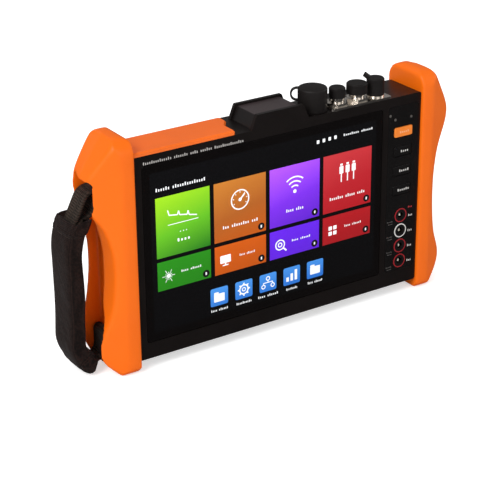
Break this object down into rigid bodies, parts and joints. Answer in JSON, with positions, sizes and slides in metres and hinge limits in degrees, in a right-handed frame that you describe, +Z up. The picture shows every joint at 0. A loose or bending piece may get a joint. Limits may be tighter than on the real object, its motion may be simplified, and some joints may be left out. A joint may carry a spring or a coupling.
{
  "type": "optical time domain reflectometer",
  "caption": "Hand-held upright tester with a touch screen, moulded orange grips, a padded side strap, test sockets beside the screen and capped connectors on top.",
  "frame": {"origin": "bottom centre of the whole instrument, on the plane the grips rest on", "axes": "+X to the user's right, +Y away from the user through the screen into the case, +Z up"},
  "size_m": [0.2928, 0.039, 0.1613],
  "materials": {
    "orange_rubber": "satin",
    "black_shell": "fine grained",
    "orange_plastic": "satin",
    "pod_plastic": "matt",
    "touch_glass": "polished, opaque black",
    "screen": "plain",
    "overlay": "polished",
    "power_orange": "satin",
    "key_black": "satin",
    "circuit_board": "matt",
    "switch": "matt",
    "lamp": "clear",
    "socket_white": "satin",
    "socket_red": "satin",
    "socket_black": "satin",
    "contact_metal": "plated",
    "tin_metal": "satin",
    "steel": "zinc plated",
    "connector_metal": "nickel plated",
    "cap_rubber": "matt",
    "battery": "matt",
    "webbing": "ribbed",
    "pad_fabric": "woven"
  },
  "bodies": {
    "case": {"battery_door": "black_shell", "battery_pack": "battery", "board_screws": "steel", "case_screws": "steel", "common_socket_ring": "socket_white", "connector_plate": "connector_metal", "door_screws": "steel", "fault_locator_port": "connector_metal", "front_shell": "black_shell", "key_board": "circuit_board", "key_overlay": "overlay", "key_switches": "switch", "lcd_module": "screen", "left_grip": "orange_rubber", "live_socket_rings": "socket_red", "main_board": "circuit_board", "optics_module": "tin_metal", "pod_cover": "pod_plastic", "power_meter_port": "connector_metal", "processor_shield": "tin_metal", "rear_shell": "black_shell", "right_grip": "orange_rubber", "socket_barrels": "socket_black", "socket_contacts": "contact_metal", "socket_nuts": "connector_metal", "speaker": "switch", "status_lamps": "lamp", "strap_pad": "pad_fabric", "strap_pins": "steel", "strap_webbing": "webbing", "top_strip": "orange_plastic", "touch_glass": "touch_glass", "video_in_socket": "connector_metal", "video_out_socket": "connector_metal"},
    "power_key": {"power_key": "power_orange"},
    "menu_key": {"menu_key": "key_black"},
    "enter_key": {"enter_key": "key_black"},
    "return_key": {"return_key": "key_black"},
    "power_meter_cap": {"power_meter_cap": "cap_rubber"},
    "video_in_cap": {"video_in_cap": "cap_rubber"},
    "video_out_cap": {"video_out_cap": "cap_rubber"},
    "fault_locator_cap": {"fault_locator_cap": "cap_rubber"}
  },
  "joints": [
    {"name": "power_key_press", "type": "slide", "parent": "case", "child": "power_key", "axis": [0, 1, 0], "range_m": [0, 0.0005], "stiffness_N_per_m": 400},
    {"name": "menu_key_press", "type": "slide", "parent": "case", "child": "menu_key", "axis": [0, 1, 0], "range_m": [0, 0.0005], "stiffness_N_per_m": 400},
    {"name": "enter_key_press", "type": "slide", "parent": "case", "child": "enter_key", "axis": [0, 1, 0], "range_m": [0, 0.0005], "stiffness_N_per_m": 400},
    {"name": "return_key_press", "type": "slide", "parent": "case", "child": "return_key", "axis": [0, 1, 0], "range_m": [0, 0.0005], "stiffness_N_per_m": 400},
    {"name": "power_meter_cap_pull", "type": "slide", "parent": "case", "child": "power_meter_cap", "axis": [0, 0, 1], "range_m": [0, 0.03]},
    {"name": "video_in_cap_pull", "type": "slide", "parent": "case", "child": "video_in_cap", "axis": [0, 0, 1], "range_m": [0, 0.03]},
    {"name": "video_out_cap_pull", "type": "slide", "parent": "case", "child": "video_out_cap", "axis": [0, 0, 1], "range_m": [0, 0.03]},
    {"name": "fault_locator_cap_pull", "type": "slide", "parent": "case", "child": "fault_locator_cap", "axis": [0, 0, 1], "range_m": [0, 0.03]}
  ]
}
